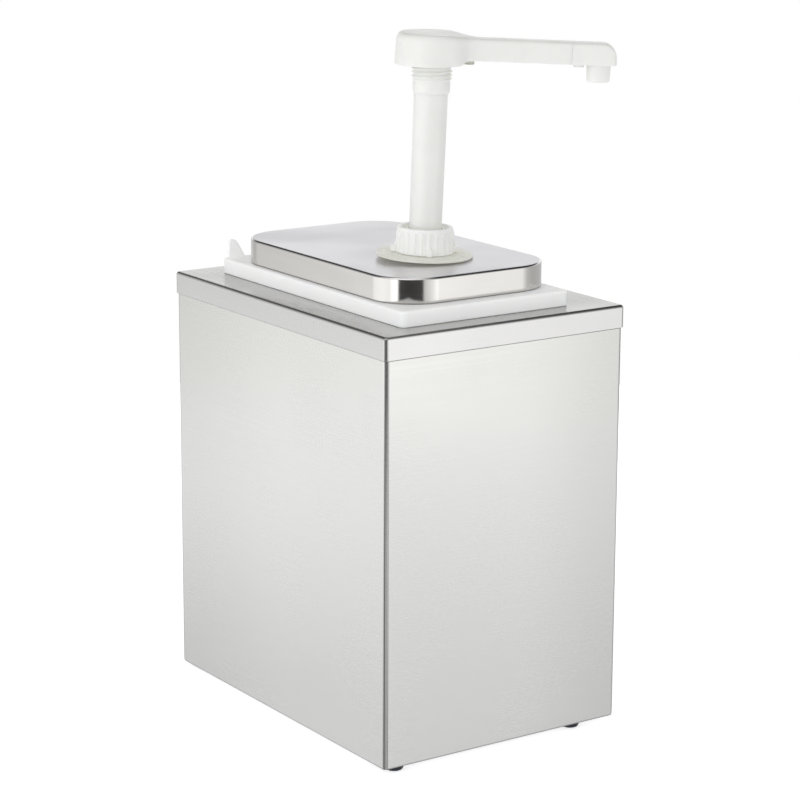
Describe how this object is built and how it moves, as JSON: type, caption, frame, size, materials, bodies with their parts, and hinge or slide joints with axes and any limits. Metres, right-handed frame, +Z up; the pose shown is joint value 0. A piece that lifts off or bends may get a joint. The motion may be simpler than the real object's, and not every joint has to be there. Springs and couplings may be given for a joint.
{
  "type": "condiment pump dispenser",
  "caption": "Countertop condiment dispenser: folded stainless housing holding a lift-out jar under a pressed lid with a stroke pump and swivelling spout.",
  "frame": {"origin": "on the table, under the middle of the whole object's footprint, spout included; the housing's own centre is 3.4 mm towards -X from it", "axes": "+Z up; +X along the narrow front panel; +Y from the front panel to the back panel along the long side; at rest the spout points towards +X and -Y"},
  "size_m": [0.172, 0.2292, 0.4081],
  "materials": {
    "housing_steel": "satin brushed",
    "cover_steel": "satin brushed",
    "lid_steel": "bright satin top with polished drawn sides",
    "fastener_steel": "plated",
    "spring_steel": "bright",
    "jar_plastic": "translucent white moulded polyethylene",
    "white_plastic": "white moulded polypropylene, soft gloss",
    "natural_plastic": "natural translucent polypropylene",
    "seal_rubber": "soft silicone",
    "foot_rubber": "moulded black rubber"
  },
  "bodies": {
    "housing": {"housing_sleeve": "housing_steel", "top_cover": "cover_steel", "base_plate": "housing_steel", "foot_front_left": "foot_rubber", "foot_front_right": "foot_rubber", "foot_back_left": "foot_rubber", "foot_back_right": "foot_rubber", "foot_screw_front_left": "fastener_steel", "foot_screw_front_right": "fastener_steel", "foot_screw_back_left": "fastener_steel", "foot_screw_back_right": "fastener_steel", "foot_nut_front_left": "fastener_steel", "foot_nut_front_right": "fastener_steel", "foot_nut_back_left": "fastener_steel", "foot_nut_back_right": "fastener_steel"},
    "jar": {"jar": "jar_plastic"},
    "lid_assembly": {"lid": "lid_steel", "mounting_flange": "natural_plastic", "clamp_nut": "white_plastic", "lid_seal": "seal_rubber", "closure_nut": "white_plastic", "guide_collar": "natural_plastic", "barrel": "natural_plastic", "spring_seat": "natural_plastic", "dip_tube": "natural_plastic", "return_spring": "spring_steel"},
    "plunger": {"piston": "white_plastic", "piston_seal": "seal_rubber"},
    "spout": {"stem": "white_plastic", "spout_head": "white_plastic", "nozzle_elbow": "white_plastic"},
    "outlet_valve": {"outlet_ball": "spring_steel"},
    "inlet_valve": {"inlet_ball": "spring_steel"}
  },
  "joints": [
    {"name": "jar_lift", "type": "slide", "parent": "housing", "child": "jar", "axis": [0, 0, 1], "range_m": [0, 0.24]},
    {"name": "lid_lift", "type": "slide", "parent": "jar", "child": "lid_assembly", "axis": [0, 0, 1], "range_m": [0, 0.245]},
    {"name": "pump_stroke", "type": "slide", "parent": "lid_assembly", "child": "plunger", "axis": [-0.0288, 0.0196, -0.9994], "range_m": [0, 0.074], "stiffness_N_per_m": 150, "springref_m": -0.06, "deforming": ["return_spring"]},
    {"name": "spout_swivel", "type": "hinge", "parent": "plunger", "child": "spout", "pos_m": [-0.0064, -0.036, 0.2778], "axis": [0.0288, -0.0196, 0.9994], "continuous": true},
    {"name": "outlet_check", "type": "slide", "parent": "plunger", "child": "outlet_valve", "axis": [0.0288, -0.0196, 0.9994], "range_m": [0, 0.003]},
    {"name": "inlet_check", "type": "slide", "parent": "lid_assembly", "child": "inlet_valve", "axis": [0.0288, -0.0196, 0.9994], "range_m": [0, 0.003]}
  ]
}
